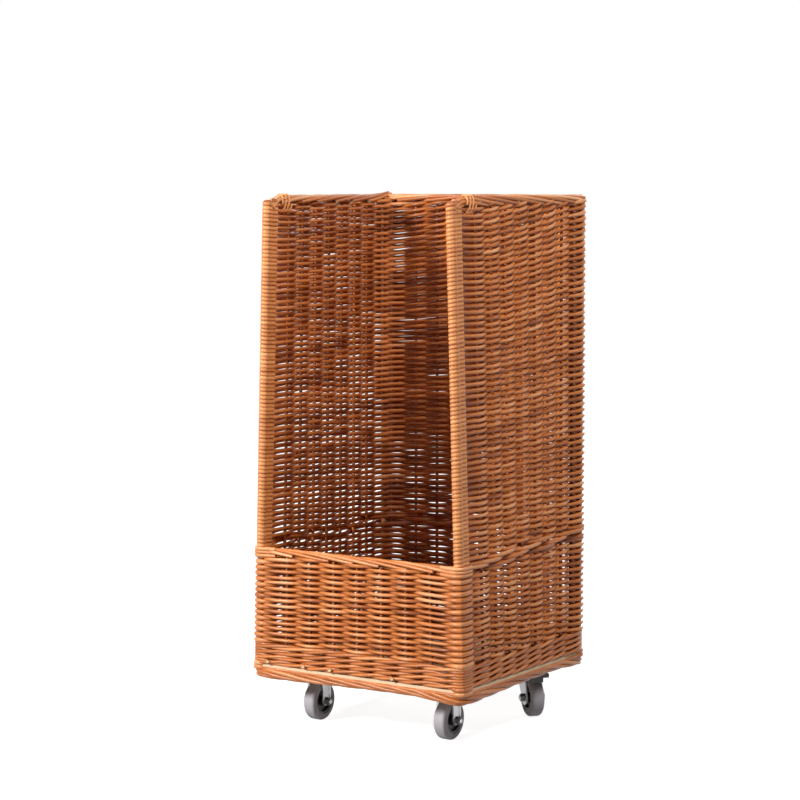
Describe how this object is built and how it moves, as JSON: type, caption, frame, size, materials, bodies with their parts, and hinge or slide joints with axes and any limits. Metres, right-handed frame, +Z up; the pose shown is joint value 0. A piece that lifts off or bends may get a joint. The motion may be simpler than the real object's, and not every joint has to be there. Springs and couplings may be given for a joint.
{
  "type": "wheeled bread basket",
  "caption": "Tall woven willow basket for long loaves, open at the top and at the front above a low panel, on two fixed castors in front and two braked swivel castors behind.",
  "frame": {"origin": "on the floor under the middle of the basket", "axes": "+Z up, the open front faces -Y, +X to the right as seen from the front"},
  "size_m": [0.344, 0.3314, 0.732],
  "materials": {
    "willow": "buff willow rods, satin",
    "willow_skein": "split willow skein, satin",
    "plywood": "bare plywood",
    "zinc_steel": "zinc plated",
    "dark_steel": "dark plated",
    "black_plastic": "moulded",
    "grey_rubber": "smooth tread"
  },
  "bodies": {
    "basket": {"back_stakes": "willow", "back_top_border": "willow", "back_weave": "willow", "base_board": "plywood", "bottom_wale": "willow", "castor_plates": "zinc_steel", "foot_border": "willow", "front_left_axle_bolt": "zinc_steel", "front_left_axle_nut": "dark_steel", "front_left_axle_sleeve": "zinc_steel", "front_left_fork": "zinc_steel", "front_left_post": "willow", "front_post_wraps": "willow_skein", "front_rail": "willow", "front_right_axle_bolt": "zinc_steel", "front_right_axle_nut": "dark_steel", "front_right_axle_sleeve": "zinc_steel", "front_right_fork": "zinc_steel", "front_right_post": "willow", "front_stakes": "willow", "front_weave": "willow", "king_pins": "zinc_steel", "left_stakes": "willow", "left_top_border": "willow", "left_weave": "willow", "plate_bolts": "zinc_steel", "plate_nuts": "dark_steel", "rear_corner_weaves": "willow", "rear_left_post": "willow", "rear_right_post": "willow", "right_stakes": "willow", "right_top_border": "willow", "right_weave": "willow", "swivel_races": "zinc_steel"},
    "front_left_wheel": {"front_left_tyre": "grey_rubber", "front_left_wheel_core": "black_plastic"},
    "front_right_wheel": {"front_right_tyre": "grey_rubber", "front_right_wheel_core": "black_plastic"},
    "rear_left_swivel": {"rear_left_axle_bolt": "zinc_steel", "rear_left_axle_nut": "dark_steel", "rear_left_axle_sleeve": "zinc_steel", "rear_left_brake_pin": "zinc_steel", "rear_left_fork": "zinc_steel"},
    "rear_left_wheel": {"rear_left_tyre": "grey_rubber", "rear_left_wheel_core": "black_plastic"},
    "rear_left_brake": {"rear_left_brake_lever": "zinc_steel", "rear_left_brake_shoe": "black_plastic", "rear_left_pedal_cap": "black_plastic"},
    "rear_right_swivel": {"rear_right_axle_bolt": "zinc_steel", "rear_right_axle_nut": "dark_steel", "rear_right_axle_sleeve": "zinc_steel", "rear_right_brake_pin": "zinc_steel", "rear_right_fork": "zinc_steel"},
    "rear_right_wheel": {"rear_right_tyre": "grey_rubber", "rear_right_wheel_core": "black_plastic"},
    "rear_right_brake": {"rear_right_brake_lever": "zinc_steel", "rear_right_brake_shoe": "black_plastic", "rear_right_pedal_cap": "black_plastic"}
  },
  "joints": [
    {"name": "front_left_roll", "type": "hinge", "parent": "basket", "child": "front_left_wheel", "pos_m": [-0.107, -0.097, 0.027], "axis": [-1, 0, 0], "continuous": true},
    {"name": "front_right_roll", "type": "hinge", "parent": "basket", "child": "front_right_wheel", "pos_m": [0.107, -0.097, 0.027], "axis": [-1, 0, 0], "continuous": true},
    {"name": "rear_left_turn", "type": "hinge", "parent": "basket", "child": "rear_left_swivel", "pos_m": [-0.1165, 0.098, 0.0697], "axis": [0, 0, 1], "continuous": true},
    {"name": "rear_left_roll", "type": "hinge", "parent": "rear_left_swivel", "child": "rear_left_wheel", "pos_m": [-0.12971, 0.11559, 0.027], "axis": [-0.7997, -0.6004, 0], "continuous": true},
    {"name": "rear_left_brake_press", "type": "hinge", "parent": "rear_left_swivel", "child": "rear_left_brake", "pos_m": [-0.1237, 0.1076, 0.0631], "axis": [-0.7997, -0.6004, 0], "range_deg": [0, 10]},
    {"name": "rear_right_turn", "type": "hinge", "parent": "basket", "child": "rear_right_swivel", "pos_m": [0.1165, 0.098, 0.0697], "axis": [0, 0, 1], "continuous": true},
    {"name": "rear_right_roll", "type": "hinge", "parent": "rear_right_swivel", "child": "rear_right_wheel", "pos_m": [0.13325, 0.08374, 0.027], "axis": [0.6481, 0.7615, 0], "continuous": true},
    {"name": "rear_right_brake_press", "type": "hinge", "parent": "rear_right_swivel", "child": "rear_right_brake", "pos_m": [0.12564, 0.09022, 0.0631], "axis": [0.6481, 0.7615, 0], "range_deg": [0, 10]}
  ]
}
